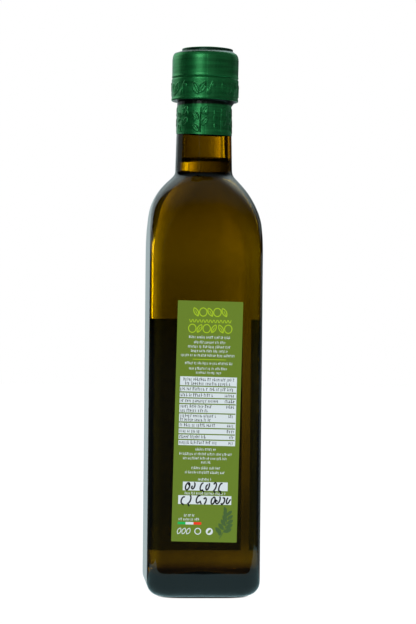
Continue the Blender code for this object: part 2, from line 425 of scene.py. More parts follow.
def capsule_outline():
    """Radius and height along the outside, from the skirt's foot to the middle of the top."""
    skirt_top = CAP_FOOT_Z - 0.5 * MM
    points = [
        (neck_radius(SKIRT_FOOT_Z) + FILM, SKIRT_FOOT_Z),
        (neck_radius(skirt_top) + FILM, skirt_top),
        (neck_radius(skirt_top) + 0.5 * MM, CAP_FOOT_Z + 0.1 * MM),
        (CAP_RADIUS - 0.30 * MM, CAP_FOOT_Z - 0.05 * MM),
        (CAP_RADIUS, CAP_FOOT_Z + 0.25 * MM),
        (CAP_RADIUS, CAP_FOOT_Z + 0.9 * MM),
        (CAP_RADIUS - 0.12 * MM, CAP_FOOT_Z + 1.3 * MM),
        (CAP_RADIUS, GROOVE_Z - 0.9 * MM),
        (CAP_RADIUS - 0.1 * MM, GROOVE_Z - 0.35 * MM),
        (CAP_UPPER_RADIUS - 0.45 * MM, GROOVE_Z),
        (CAP_UPPER_RADIUS, GROOVE_Z + 0.4 * MM),
        (CAP_UPPER_RADIUS, GROOVE_Z + 1.1 * MM),
        (CAP_UPPER_RADIUS - 0.10 * MM, GROOVE_Z + 1.5 * MM),
        (CAP_UPPER_RADIUS - 0.05 * MM, GROOVE_Z + 6.0 * MM),
    ]
    points += [
        (CAP_UPPER_RADIUS - 0.05 * MM, 269.0 * MM),
        (CAP_UPPER_RADIUS - 0.22 * MM, 270.4 * MM),
        (CAP_UPPER_RADIUS - 0.52 * MM, 271.4 * MM),
        (CAP_UPPER_RADIUS - 1.05 * MM, BEVEL_FOOT_Z),
        (DISC_RADIUS + 0.5 * MM, DISC_FOOT_Z),
        (DISC_RADIUS - 0.05 * MM, DISC_FOOT_Z + 0.12 * MM),
        (DISC_RADIUS + 0.05 * MM, TOP_Z - 0.20 * MM),
        (DISC_RADIUS - 0.25 * MM, TOP_Z),
    ]
    points.append((0.2 * MM, TOP_Z - 0.1 * MM))
    return np.array(points)


def resample(points, step):
    """Points spaced evenly along a line of straight pieces."""
    lengths = np.hypot(*np.diff(points, axis=0).T)
    along = np.concatenate([[0.0], np.cumsum(lengths)])
    wanted = np.linspace(0.0, along[-1], int(along[-1] / step) + 1)
    return np.stack([np.interp(wanted, along, points[:, 0]), np.interp(wanted, along, points[:, 1])], axis=1)


outline = resample(capsule_outline(), GRID_STEP)
print("capsule outline has", len(outline), "points")

# %% [markdown]
# The pressed pattern is made of a few plain shapes: a leaf with its middle vein, a round
# olive and a short stalk. Each is a small function that says how high the relief stands
# at a place on the film, measured in millimetres round it and up it.

# %% Draw the pressed leaves and olives
RELIEF = 0.26 * MM


def soft_line(distance, width):
    """1 on a line and 0 away from it, with soft sides."""
    return np.clip(1.4 - np.abs(distance) / width, 0.0, 1.0)


def leaf(across, up, x, y, length, lean):
    """A pointed oval outline with a vein along its middle."""
    turned = math.radians(lean)
    along = (across - x) * math.sin(turned) + (up - y) * math.cos(turned)
    side = (across - x) * math.cos(turned) - (up - y) * math.sin(turned)
    share = np.clip(1 - (2 * along / length) ** 2, 0.0, 1.0)
    edge = 0.22 * length * share
    rim = soft_line(np.abs(side) - edge, 0.28) * (np.abs(along) < 0.52 * length)
    vein = soft_line(side, 0.2) * (np.abs(along) < 0.42 * length)
    return np.maximum(rim, 0.7 * vein)


def olive(across, up, x, y, radius):
    """A round bead."""
    distance = np.hypot(across - x, (up - y) * 0.8)
    return np.sqrt(np.clip(1 - (distance / radius) ** 2, 0.0, 1.0))


def stalk(across, up, x, low, high, bend):
    """A thin upright line that leans out in a slow curve."""
    middle = x + bend * ((up - low) / (high - low)) ** 2
    return soft_line(across - middle, 0.22) * (up > low) * (up < high)


def pressed_pattern(angle, height):
    """Relief from 0 to 1 over the capsule: sprigs on the band and on the skirt."""
    total = np.zeros_like(angle)
    band_around = 7
    width = 2 * math.pi * CAP_RADIUS / MM / band_around
    across = ((angle / (2 * math.pi) * band_around + 0.36) % 1.0) * width
    up = (height - CAP_FOOT_Z) / MM
    band = (up > 0.9) & (up < 10.2)
    sprig = leaf(across, up, 0.22 * width, 5.4, 6.4, -24)
    sprig = np.maximum(sprig, leaf(across, up, 0.44 * width, 5.8, 6.2, 27))
    sprig = np.maximum(sprig, olive(across, up, 0.66 * width, 3.6, 1.15))
    sprig = np.maximum(sprig, olive(across, up, 0.82 * width, 6.9, 0.95))
    sprig = np.maximum(sprig, stalk(across, up, 0.70 * width, 4.6, 9.2, 1.6))
    total = np.where(band, sprig, total)
    skirt_around = 8
    width = 2 * math.pi * neck_radius(SKIRT_FOOT_Z) / MM / skirt_around
    across = ((angle / (2 * math.pi) * skirt_around + 0.78) % 1.0) * width
    up = (height - SKIRT_FOOT_Z) / MM
    skirt = (up > 0.8) & (up < 14.6)
    branch = stalk(across, up, 0.5 * width, 1.2, 13.6, 0.5)
    for i, base in enumerate((3.4, 6.6, 9.8, 12.2)):
        side = 1 if i % 2 else -1
        branch = np.maximum(branch, leaf(across, up, (0.5 + 0.21 * side) * width, base, 4.8, 34 * side))
    branch = np.maximum(branch, olive(across, up, 0.20 * width, 8.0, 1.2))
    branch = np.maximum(branch, olive(across, up, 0.80 * width, 11.0, 1.1))
    return np.where(skirt, branch, total)


# %% [markdown]
# Shrinking leaves its own marks: fine creases where the film is drawn in under the cap, a
# slightly wavy top, a lapped seam down one side and two rows of pinholes beside it, so
# that the film can be torn open.

# %% Add creases, seam and pinholes
SEAM_ANGLE = math.radians(-90 - 4.4 + 4.0)
PINHOLE_ROWS = (SEAM_ANGLE + math.radians(1.5), SEAM_ANGLE + math.radians(15.5))


def around_from(angle, middle):
    """Signed angle from middle, between -pi and pi."""
    return (angle - middle + math.pi) % (2 * math.pi) - math.pi


def shrink_marks(angle, height):
    """Small moves in or out, in metres."""
    under_cap = np.exp(-(((height - CAP_FOOT_Z + 2.0 * MM) / (1.6 * MM)) ** 2))
    ripples = np.sin(angle * 23 + 2.0 * np.sin(angle * 3)) * np.sin(angle * 9 + 1.0)
    moved = 0.04 * MM * under_cap * ripples
    side = around_from(angle, SEAM_ANGLE) * CAP_RADIUS
    lap = 1 / (1 + np.exp(-side / (0.06 * MM))) * np.exp(-np.clip(side, 0, None) / (2.5 * MM))
    moved += 0.07 * MM * lap
    for row in PINHOLE_ROWS:
        side = around_from(angle, row) * CAP_RADIUS
        up = (height % (1.1 * MM)) - 0.55 * MM
        moved -= 0.12 * MM * np.exp(-(side**2 + up**2) / (0.2 * MM) ** 2)
    return moved


# %% [markdown]
# On one side the film didn't shrink tight. It runs straight from the cap's lower edge down
# to the neck like a small sail. This is a second outline that is mixed in round that side.

# %% Let the film stand off on one side
SAIL_ANGLE = math.radians(-18.0)
SAIL_SPREAD = math.radians(34.0)
SAIL_DROP = 3.2 * MM


def sail_radius(radius, height, angle):
    """Radius pulled out to a slanting film where the sail is."""
    down = np.clip((CAP_FOOT_Z + 0.3 * MM - height) / SAIL_DROP, 0.0, 1.0)
    outer = CAP_RADIUS - (CAP_RADIUS - neck_radius(CAP_FOOT_Z)) * down**0.62
    strength = np.exp(-((around_from(angle, SAIL_ANGLE) / SAIL_SPREAD) ** 4))
    in_reach = (height < CAP_FOOT_Z + 0.3 * MM) & (down < 1.0)
    return np.where(in_reach & (outer > radius), radius + (outer - radius) * strength, radius)


# %% Assemble the capsule
AROUND = 520
TOP_WAVE = 0.10 * MM
PLUG_Z = MOUTH_Z + 0.3 * MM

CAP_LEAN = 0.011
CAP_SLIDE = 0.22 * MM
CAP_TILT = 0.013
DISC_SHIFT = 0.9 * MM
FOOT_LEAN = 0.030
FOOT_BACK_RISE = 1.3 * MM
FOOT_REACH = 7.0 * MM


def set_crooked(x, y, z):
    """Leans the cap, slides the disc on top and cuts the skirt's foot a little askew."""
    on_cap = np.clip((z - CAP_FOOT_Z + 1.0 * MM) / (1.0 * MM), 0.0, 1.0)
    on_disc = np.clip((z - BEVEL_FOOT_Z) / (DISC_FOOT_Z - BEVEL_FOOT_Z), 0.0, 1.0)
    at_foot = np.clip(1 - (z - SKIRT_FOOT_Z) / FOOT_REACH, 0.0, 1.0)
    moved_x = x - slide_at(z) + on_cap * (CAP_LEAN * (z - CAP_FOOT_Z) + CAP_SLIDE) + on_disc * DISC_SHIFT
    back_share = (1 + y / neck_radius(SKIRT_FOOT_Z)) / 2
    moved_z = z - on_cap * CAP_TILT * x + at_foot * (FOOT_BACK_RISE * back_share - FOOT_LEAN * x)
    return np.stack([moved_x, y, moved_z], axis=1)


angles = np.linspace(0.0, 2 * math.pi, AROUND, endpoint=False)
film_rings = []
for radius, height in outline:
    heights = np.full(AROUND, height)
    reach = sail_radius(np.full(AROUND, radius), heights, angles)
    on_side = min(radius / (CAP_RADIUS - 1.5 * MM), 1.0) ** 8 if height > CAP_FOOT_Z else 1.0
    reach = reach + on_side * (RELIEF * pressed_pattern(angles, heights) + shrink_marks(angles, heights))
    near_top = max(0.0, (height - BEVEL_FOOT_Z) / (TOP_Z - BEVEL_FOOT_Z))
    x = reach * np.cos(angles)
    y = reach * np.sin(angles)
    bumps = [noise.noise(Vector((a, b, 3.0 * MM)) / (9 * MM)) for a, b in zip(x, y)]
    heights = heights - near_top * TOP_WAVE * (0.5 + 0.5 * np.array(bumps))
    film_rings.append(set_crooked(x, y, heights))
bore_rings = []
for z in np.linspace(PLUG_Z, SKIRT_FOOT_Z, 12):
    radius = neck_radius(z) + 0.04 * MM
    at_foot = max(0.0, 1 - (z - SKIRT_FOOT_Z) / FOOT_REACH)
    x, y = radius * np.cos(angles), radius * np.sin(angles)
    lift = at_foot * (FOOT_BACK_RISE * (1 + y / neck_radius(SKIRT_FOOT_Z)) / 2 - FOOT_LEAN * x)
    bore_rings.append(np.stack([x - slide_at(z), y, z + lift], axis=1))

# %% [markdown]
# The film is printed in a satin metallic green with very fine level lines in it. A noise
# that is stretched far round the cap and hardly at all up it makes such lines, and the
# same group can serve any turned metal or foil, so it is built once as a node group.

# %% Build the shader groups
def new_group(name, inputs, outputs):
    """A node group with named number inputs and named outputs."""
    group = bpy.data.node_groups.new(name, "ShaderNodeTree")
    for label, value in inputs:
        socket = group.interface.new_socket(label, in_out="INPUT", socket_type="NodeSocketFloat")
        socket.default_value = value
    for label, kind in outputs:
        group.interface.new_socket(label, in_out="OUTPUT", socket_type=kind)
    return group, group.nodes.new("NodeGroupInput"), group.nodes.new("NodeGroupOutput")


def math_node(tree, operation, first, second=None):
    """One Math node, with sockets or plain numbers for its inputs."""
    node = tree.nodes.new("ShaderNodeMath")
    node.operation = operation
    for place, value in enumerate((first, second)):
        if value is None:
            continue
        if isinstance(value, (int, float)):
            node.inputs[place].default_value = value
        else:
            tree.links.new(value, node.inputs[place])
    return node.outputs[0]


def stretched_lines_group():
    """Fine level lines: a mask from 0 to 1 made of noise stretched round the axis."""
    group, given, result = new_group(
        "level_lines",
        [("Lines per mm", 2.0), ("Stretch", 0.03)],
        [("Mask", "NodeSocketFloat")],
    )
    tree = group
    coordinates = tree.nodes.new("ShaderNodeTexCoord")
    split = tree.nodes.new("ShaderNodeSeparateXYZ")
    tree.links.new(coordinates.outputs["Object"], split.inputs[0])
    upward = math_node(tree, "MULTIPLY", split.outputs["Z"], 1000.0)
    upward = math_node(tree, "MULTIPLY", upward, given.outputs["Lines per mm"])
    sideways = math_node(tree, "MULTIPLY", given.outputs["Stretch"], 1000.0)
    across = math_node(tree, "MULTIPLY", split.outputs["X"], sideways)
    deep = math_node(tree, "MULTIPLY", split.outputs["Y"], sideways)
    joined = tree.nodes.new("ShaderNodeCombineXYZ")
    tree.links.new(across, joined.inputs["X"])
    tree.links.new(deep, joined.inputs["Y"])
    tree.links.new(upward, joined.inputs["Z"])
    texture = tree.nodes.new("ShaderNodeTexNoise")
    texture.inputs["Scale"].default_value = 1.0
    texture.inputs["Detail"].default_value = 3.0
    tree.links.new(joined.outputs[0], texture.inputs["Vector"])
    tree.links.new(texture.outputs[0], result.inputs["Mask"])
    return group


def fine_grain_group():
    """Small even specks and slow blotches for printed film and paper."""
    group, given, result = new_group(
        "fine_grain",
        [("Speck size mm", 0.3), ("Blotch size mm", 9.0)],
        [("Specks", "NodeSocketFloat"), ("Blotches", "NodeSocketFloat")],
    )
    coordinates = group.nodes.new("ShaderNodeTexCoord")
    for size, label, detail in (("Speck size mm", "Specks", 2.0), ("Blotch size mm", "Blotches", 1.0)):
        texture = group.nodes.new("ShaderNodeTexNoise")
        texture.inputs["Detail"].default_value = detail
        group.links.new(coordinates.outputs["Object"], texture.inputs["Vector"])
        scale = math_node(group, "DIVIDE", 1000.0, given.outputs[size])
        group.links.new(scale, texture.inputs["Scale"])
        group.links.new(texture.outputs[0], result.inputs[label])
    return group


level_lines = stretched_lines_group()
fine_grain = fine_grain_group()


def add_group(tree, group, **values):
    """Places a group in a material and sets its inputs."""
    node = tree.nodes.new("ShaderNodeGroup")
    node.node_tree = group
    for label, value in values.items():
        node.inputs[label.replace("_", " ")].default_value = value
    return node


def colour_between(tree, mask, first, second, low=0.3, high=0.7):
    """A colour ramp from first to second over a mask."""
    ramp = tree.nodes.new("ShaderNodeValToRGB")
    ramp.color_ramp.elements[0].position = low
    ramp.color_ramp.elements[1].position = high
    ramp.color_ramp.elements[0].color = (*first, 1.0)
    ramp.color_ramp.elements[1].color = (*second, 1.0)
    tree.links.new(mask, ramp.inputs[0])
    return ramp.outputs[0]


def value_between(tree, mask, low, high):
    """A number from low to high over a mask."""
    node = tree.nodes.new("ShaderNodeMapRange")
    node.inputs["To Min"].default_value = low
    node.inputs["To Max"].default_value = high
    tree.links.new(mask, node.inputs["Value"])
    return node.outputs[0]


def bump(tree, shader, height, distance, strength=1.0):
    node = tree.nodes.new("ShaderNodeBump")
    node.inputs["Distance"].default_value = distance
    node.inputs["Strength"].default_value = strength
    tree.links.new(height, node.inputs["Height"])
    tree.links.new(node.outputs["Normal"], shader.inputs["Normal"])


# %% Make the capsule's satin green
def height_mask(tree, low, high):
    """1 between two heights and 0 elsewhere."""
    coordinates = tree.nodes.new("ShaderNodeTexCoord")
    split = tree.nodes.new("ShaderNodeSeparateXYZ")
    tree.links.new(coordinates.outputs["Object"], split.inputs[0])
    above = math_node(tree, "GREATER_THAN", split.outputs["Z"], low)
    below = math_node(tree, "LESS_THAN", split.outputs["Z"], high)
    return math_node(tree, "MULTIPLY", above, below)


def near_axis_mask(tree, reach, low, high):
    """1 inside a radius from the upright axis and between two heights, with a soft lower end."""
    coordinates = tree.nodes.new("ShaderNodeTexCoord")
    split = tree.nodes.new("ShaderNodeSeparateXYZ")
    tree.links.new(coordinates.outputs["Object"], split.inputs[0])
    squares = [math_node(tree, "MULTIPLY", split.outputs[name], split.outputs[name]) for name in ("X", "Y")]
    away = math_node(tree, "SQRT", math_node(tree, "ADD", *squares))
    rise = math_node(tree, "SUBTRACT", split.outputs["Z"], low)
    rise = math_node(tree, "DIVIDE", rise, 0.8 * MM)
    rise = math_node(tree, "MINIMUM", math_node(tree, "MAXIMUM", rise, 0.0), 1.0)
    inside = math_node(tree, "LESS_THAN", away, reach)
    inside = math_node(tree, "MULTIPLY", inside, math_node(tree, "LESS_THAN", split.outputs["Z"], high))
    return math_node(tree, "MULTIPLY", inside, rise)


def tinted(tree, colour, mask, tint):
    """The colour with another laid over it where the mask is 1."""
    mix = tree.nodes.new("ShaderNodeMix")
    mix.data_type = "RGBA"
    mix.inputs[7].default_value = (*tint, 1.0)
    tree.links.new(colour, mix.inputs[6])
    tree.links.new(mask, mix.inputs["Factor"])
    return mix.outputs[2]


def satin_film():
    made, tree, shader, _ = new_material("satin_green_film")
    lines = add_group(tree, level_lines, Lines_per_mm=0.8, Stretch=0.04).outputs["Mask"]
    colour = colour_between(tree, lines, (0.010, 0.260, 0.062), (0.034, 0.470, 0.130))
    # Painted sheen: the bevel under the top disc is tinted grey-green, standing in for the grey gloss that light
    # gives that folded edge.
    colour = tinted(tree, colour, height_mask(tree, BEVEL_FOOT_Z - 0.1 * MM, DISC_FOOT_Z), (0.16, 0.25, 0.21))
    colour = tinted(tree, colour, height_mask(tree, DISC_FOOT_Z, TOP_Z - 0.24 * MM), (0.012, 0.085, 0.045))
    # Painted shade: a ring of film just under the cap's lower edge is darkened almost to black, standing in for the
    # shadow under the cap's overhang.
    painted_shade_under_cap = near_axis_mask(tree, 16.2 * MM, 245.6 * MM, 251.0 * MM)
    colour = tinted(tree, colour, painted_shade_under_cap, (0.002, 0.014, 0.006))
    tree.links.new(colour, shader.inputs["Base Color"])
    tree.links.new(value_between(tree, lines, 0.32, 0.50), shader.inputs["Roughness"])
    shader.inputs["Metallic"].default_value = 0.96
    shader.inputs["Coat Weight"].default_value = 0.45
    shader.inputs["Coat Roughness"].default_value = 0.3
    shader.inputs["Coat IOR"].default_value = 1.6
    bump(tree, shader, lines, 0.03 * MM, 0.5)
    return made


capsule_green = satin_film()
capsule = place_piece(
    "capsule_film", loft_rings(bore_rings[::1] + film_rings), capsule_green, ["capsule"], 50
)

# %% [markdown]
# ## The labels
# Both labels are printed on thin satin film, so each is a thin sheet with rounded corners
# a hair off the glass. Everything printed is its own shape lying on the sheet: rows of
# tiny blocks stand for small print, and plain fields of colour for the rest. A picture
# mapped on the sheet could do the same, but shapes stay sharp from any distance.

# %% Place shapes on a label
SHEET = 0.10 * MM
SHEET_GAP = 0.03 * MM
INK = 0.012 * MM
LABEL_CORNER = 0.35 * MM


class Label:
    """A label's own frame: across and up in millimetres from its middle, on one face of the bottle."""

    def __init__(self, node, side, lean_degrees, size):
        low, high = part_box(node)
        self.centre = (low + high) / 2
        self.side = side
        self.lean = math.radians(lean_degrees)
        self.width, self.height = size

    def point(self, across, up, lift):
        """World place of a point on the label. lift is its height off the sheet's face."""
        turned_across = across * math.cos(self.lean) + up * math.sin(self.lean)
        turned_up = up * math.cos(self.lean) - across * math.sin(self.lean)
        x = self.centre.x - self.side * turned_across * MM
        y = self.side * (HALF_SIDE + SHEET_GAP + SHEET + lift)
        return Vector((x, y, self.centre.z + turned_up * MM))


BACK_SIZE = (32.4, 119.0)
FRONT_SIZE = (40.4, 118.4)
FRONT_SLIDE = 1.2 * MM
back_label = Label("back_label", -1, 1.05, BACK_SIZE)
front_label = Label("front_label", 1, 0.0, FRONT_SIZE)
front_label.centre.x += FRONT_SLIDE


def rounded_outline(width, height, corner, steps=5):
    """A rectangle with round corners, anticlockwise about its middle."""
    points = []
    for quarter in range(4):
        turn = math.radians(90 * quarter)
        middle_x = (width / 2 - corner) * math.copysign(1, math.cos(turn + math.radians(45)))
        middle_y = (height / 2 - corner) * math.copysign(1, math.sin(turn + math.radians(45)))
        for angle in np.linspace(turn, turn + math.radians(90), steps):
            points.append((middle_x + corner * math.cos(angle), middle_y + corner * math.sin(angle)))
    return points


def add_plate(mesh, label, outline_points, bottom, top):
    """A flat closed plate of any outline, from bottom to top off the label's face."""
    rings = []
    for lift in (bottom, top):
        rings.append([mesh.verts.new(label.point(x, y, lift)) for x, y in outline_points])
    count = len(outline_points)
    for i in range(count):
        after = (i + 1) % count
        mesh.faces.new((rings[0][i], rings[0][after], rings[1][after], rings[1][i]))
    mesh.faces.new(rings[0])
    mesh.faces.new(rings[1])


def add_bar(mesh, label, left, right, low, high, lift=0.0):
    """A printed rectangle, in millimetres on the label."""
    outline_points = [(left, low), (right, low), (right, high), (left, high)]
    add_plate(mesh, label, outline_points, (lift - 0.5) * INK, (lift + 1) * INK)


def add_shape(mesh, label, outline_points, lift=0.0):
    add_plate(mesh, label, outline_points, (lift - 0.5) * INK, (lift + 1) * INK)


# %% Print rows of small type
type_dice = random.Random(11)


def add_type_row(mesh, label, left, right, middle, height, lift=0.0):
    """A row of small print: words of narrow upright blocks, with ups and downs as type has them."""
    across = left
    while across < right - 0.4 * height:
        letters = type_dice.randint(2, 8)
        for _ in range(letters):
            width = height * type_dice.uniform(0.32, 0.62)
            if across + width > right:
                return
            kind = type_dice.random()
            low = middle - height / 2 - (0.22 * height if kind < 0.12 else 0.0)
            high = middle + height / 2 + (0.28 * height if kind > 0.72 else 0.0)
            stroke = width * 0.42
            add_bar(mesh, label, across, across + stroke, low, high, lift)
            if kind > 0.25:
                bar_at = middle + height * type_dice.choice((-0.38, 0.0, 0.34))
                add_bar(mesh, label, across + stroke, across + width, bar_at, bar_at + 0.24 * height, lift)
            across += width + 0.2 * height
        across += 0.42 * height


# %% Turn rows of the photograph into places on the label
LABEL_TOP_PX = 300.4
LABEL_BOTTOM_PX = 541.6
LABEL_LEFT_PX = 177.9
LABEL_LEFT_SLIDE_PX = -6.8
LABEL_WIDTH_PX = 65.4


def label_up(row_px):
    """Height over the label's middle, in millimetres, of a picture row."""
    share = (row_px - LABEL_TOP_PX) / (LABEL_BOTTOM_PX - LABEL_TOP_PX)
    return (0.5 - share) * back_label.height


def label_across(column_px, row_px):
    """Distance right of the label's middle, in millimetres, of a picture column on that row."""
    share_down = (row_px - LABEL_TOP_PX) / (LABEL_BOTTOM_PX - LABEL_TOP_PX)
    left = LABEL_LEFT_PX + LABEL_LEFT_SLIDE_PX * share_down
    return ((column_px - left) / LABEL_WIDTH_PX - 0.5) * back_label.width


# %% Make the printing inks and the label film
def printed_ink(name, colour, roughness=0.42):
    """A satin ink whose tone varies slightly, as thin ink over a coloured ground does."""
    made, tree, shader, _ = new_material(name)
    grain = add_group(tree, fine_grain, Speck_size_mm=0.22, Blotch_size_mm=7.0)
    darker = tuple(0.88 * channel for channel in colour)
    tree.links.new(colour_between(tree, grain.outputs["Specks"], darker, colour), shader.inputs["Base Color"])
    low, high = roughness - 0.06, roughness + 0.06
    tree.links.new(value_between(tree, grain.outputs["Blotches"], low, high), shader.inputs["Roughness"])
    shader.inputs["Specular IOR Level"].default_value = 0.35
    return made


def label_film(name, colour):
    """The label's ground: satin film with faint specks, a slow change of tone and a slight ripple."""
    made, tree, shader, _ = new_material(name)
    grain = add_group(tree, fine_grain, Speck_size_mm=0.35, Blotch_size_mm=14.0)
    speckled = colour_between(
        tree, grain.outputs["Specks"], tuple(0.90 * c for c in colour), tuple(1.06 * c for c in colour)
    )
    tree.links.new(speckled, shader.inputs["Base Color"])
    tree.links.new(value_between(tree, grain.outputs["Blotches"], 0.36, 0.5), shader.inputs["Roughness"])
    shader.inputs["Specular IOR Level"].default_value = 0.35
    bump(tree, shader, grain.outputs["Blotches"], 0.25 * MM, 0.35)
    return made


LABEL_GREEN = (0.145, 0.240, 0.014)
label_ground = label_film("label_film_green", LABEL_GREEN)
white_ink = printed_ink("white_ink", (0.74, 0.83, 0.86))
lime_ink = printed_ink("lime_ink", (0.42, 0.64, 0.010))
pen_ink = printed_ink("pen_ink", (0.004, 0.004, 0.009))
table_ink = printed_ink("table_ink", (0.012, 0.03, 0.018))
leaf_ink = printed_ink("deep_green_ink", (0.070, 0.150, 0.035))
red_ink = printed_ink("red_ink", (0.95, 0.035, 0.008))
strip_green_ink = printed_ink("mid_green_ink", (0.002, 0.52, 0.10))

# %% Lay the back label's sheet
def label_sheet(name, label, node):
    mesh = bmesh.new()
    outline_points = rounded_outline(label.width, label.height, LABEL_CORNER / MM)
    add_plate(mesh, label, outline_points, -SHEET, 0.0)
    bmesh.ops.recalc_face_normals(mesh, faces=mesh.faces[:])
    return place_piece(name, mesh, label_ground, [node])


back_sheet = label_sheet("back_label_sheet", back_label, "back_label")
front_sheet = label_sheet("front_label_sheet", front_label, "front_label")

# %% [markdown]
# The back label is laid out as such labels are: a title, a paragraph, a table of values,
# notes, two white boxes filled in by pen, and a small drawing. The small type is rows of
# blocks that can't be read, the pen marks are loops, and the drawing is a plain sprig.

# %% Print the back label's type
white_mesh = bmesh.new()
lime_mesh = bmesh.new()
WHITE_ROWS = (
    (189, 231, 336.8), (194, 226, 341.9), (188, 231, 346.3), (191, 228, 350.6), (181, 237, 355.0),
    (185, 233, 362.9), (189, 229, 368.2), (196, 221, 372.3), (195.5, 217, 449.1), (179.3, 233, 453.8),
    (183, 229, 458.2), (201, 211, 462.1), (191.4, 220, 467.8), (185, 226, 472.2), (198, 211.5, 479.2),
    (184.7, 225.5, 493.2), (184, 195, 515.5), (178.6, 199, 519.3),
)
SMALL_TYPE_MM = 1.05
RULE_PX = (192.6, 226.0, 358.9)

for left_px, right_px, row_px in WHITE_ROWS:
    left = label_across(left_px, row_px)
    right = label_across(right_px, row_px)
    add_type_row(white_mesh, back_label, left, right, label_up(row_px), SMALL_TYPE_MM)
rule_up = label_up(RULE_PX[2])
rule_left = label_across(RULE_PX[0], RULE_PX[2])
add_bar(lime_mesh, back_label, rule_left, label_across(RULE_PX[1], RULE_PX[2]), rule_up - 0.15, rule_up + 0.15)

# %% Print the table and the two pen boxes
TABLE_PX = (179.2, 236.0, 376.3, 445.1)
TABLE_RULES_PX = (385.8, 392.0, 397.8, 403.6, 413.0, 422.1, 427.9, 433.9, 439.5)
BOXES_PX = ((182.7, 227.6, 481.6, 490.3), (178.1, 231.2, 495.3, 504.0))

pen_mesh = bmesh.new()
table_mesh = bmesh.new()
ground_mesh = bmesh.new()


def add_pixel_bar(mesh, left_px, right_px, top_px, bottom_px, lift=0.0):
    """A bar whose sides are given in the picture."""
    middle_px = (top_px + bottom_px) / 2
    left = label_across(left_px, middle_px)
    right = label_across(right_px, middle_px)
    add_bar(mesh, back_label, left, right, label_up(bottom_px), label_up(top_px), lift)


add_pixel_bar(white_mesh, *TABLE_PX)
for rule_px in TABLE_RULES_PX:
    slide = (rule_px - TABLE_PX[2]) / (TABLE_PX[3] - TABLE_PX[2]) * -2.1
    add_pixel_bar(ground_mesh, TABLE_PX[0] + slide - 0.5, TABLE_PX[1] + slide + 0.5, rule_px - 0.6, rule_px + 0.6, 1)
TABLE_ROWS_PX = (
    (183.5, 234.5, 379.2), (185.2, 231.8, 383.4), (180.4, 208.0, 388.9), (209.8, 235.2, 388.9),
    (180.7, 213.7, 395.0), (224.8, 235.0, 395.0), (180.7, 220.2, 400.8), (224.8, 235.0, 400.8),
    (180.6, 214.0, 406.3), (226.2, 234.9, 406.3), (180.5, 208.5, 410.5), (180.4, 217.6, 415.7),
    (228.5, 234.6, 415.7), (180.2, 211.5, 419.8), (179.8, 215.8, 425.0), (227.0, 234.3, 425.0),
    (179.6, 201.0, 431.0), (226.8, 234.0, 431.0), (179.4, 206.0, 436.8), (229.3, 233.8, 436.8),
    (179.2, 218.2, 442.4), (228.5, 233.5, 442.4),
)
for left_px, right_px, row_px in TABLE_ROWS_PX:
    left, right = label_across(left_px, row_px), label_across(right_px, row_px)
    add_type_row(table_mesh, back_label, left, right, label_up(row_px), 1.3, 1)
for box_px in BOXES_PX:
    add_pixel_bar(white_mesh, *box_px)

# %% [markdown]
# Pen strokes are ribbons with a little thickness. Each mark is a slanting arc and a short
# tail whose sizes come from a seeded dice, so the marks look written but say nothing.

# %% Write the pen marks
PEN_WIDTH_MM = 0.72
pen_dice = random.Random(5)


def add_ribbon(mesh, label, points, width, lift=0.0, closed=False):
    """A flat ribbon along a list of points on the label."""
    points = [Vector(p) for p in points]
    last = len(points) - 1
    left_side = []
    right_side = []
    for i, point in enumerate(points):
        before = points[i - 1] if i > 0 or closed else point
        after = points[(i + 1) % len(points)] if i < last or closed else point
        direction = (after - before).normalized()
        sideways = Vector((-direction.y, direction.x)) * width / 2
        left_side.append(point + sideways)
        right_side.append(point - sideways)
    for i in range(last + 1 if closed else last):
        following = (i + 1) % len(points)
        corners = (right_side[i], right_side[following], left_side[following], left_side[i])
        add_plate(mesh, label, [(c.x, c.y) for c in corners], (lift - 0.5) * INK, (lift + 1) * INK)


def pen_mark(middle_x, middle_y, height):
    """Points of one slanting loop with a tail."""
    tall = height * pen_dice.uniform(0.34, 0.44)
    wide = height * pen_dice.uniform(0.15, 0.24)
    start = pen_dice.uniform(60, 150)
    sweep = pen_dice.choice((-1, 1)) * pen_dice.uniform(200, 400)
    points = []
    for turn in np.radians(start + sweep * np.linspace(0, 1, 14)):
        points.append((wide * math.cos(turn), tall * math.sin(turn)))
    last = points[-1]
    points.append((last[0] + wide * pen_dice.uniform(0.5, 1.6), last[1] + tall * pen_dice.uniform(-0.9, 0.5)))
    return [(middle_x + x + 0.25 * y, middle_y + y) for x, y in points]


PEN_MARKS_PX = (
    (187.5, 486.2), (193.2, 485.6), (202.0, 486.4), (207.6, 485.8), (214.4, 486.0), (220.6, 486.6),
    (183.0, 500.2), (189.0, 499.4), (198.4, 499.0), (204.4, 500.6), (213.0, 500.0), (217.8, 499.2),
    (222.8, 500.2), (228.0, 499.6),
)
for column_px, row_px in PEN_MARKS_PX:
    points = pen_mark(label_across(column_px, row_px), label_up(row_px), 4.5)
    add_ribbon(pen_mesh, back_label, points, PEN_WIDTH_MM, 1)

# %% Print the coloured strip, the marks and the sprig
STRIP_PX = (177.5, 201.2, 521.9, 524.4)
strip_width = (STRIP_PX[1] - STRIP_PX[0]) / 3
green_mesh = bmesh.new()
red_mesh = bmesh.new()
for i, mesh in enumerate((green_mesh, white_mesh, red_mesh)):
    left_px = STRIP_PX[0] + strip_width * i
    add_pixel_bar(mesh, left_px, left_px + strip_width, STRIP_PX[2], STRIP_PX[3], 1 if i != 1 else 0)

sprig_mesh = bmesh.new()
bead_mesh = bmesh.new()


def leaf_outline(x, y, length, lean, fullness=0.24, steps=9):
    """A pointed leaf, as points round its edge."""
    turned = math.radians(lean)
    points = []
    for side in (1, -1):
        for i in range(steps):
            share = i / steps if side == 1 else 1 - i / steps
            along = (share - 0.5) * length
            wide = side * fullness * length * math.sin(math.pi * share) ** 0.8
            points.append((
                x + along * math.sin(turned) + wide * math.cos(turned),
                y + along * math.cos(turned) - wide * math.sin(turned),
            ))
    return points[::-1]


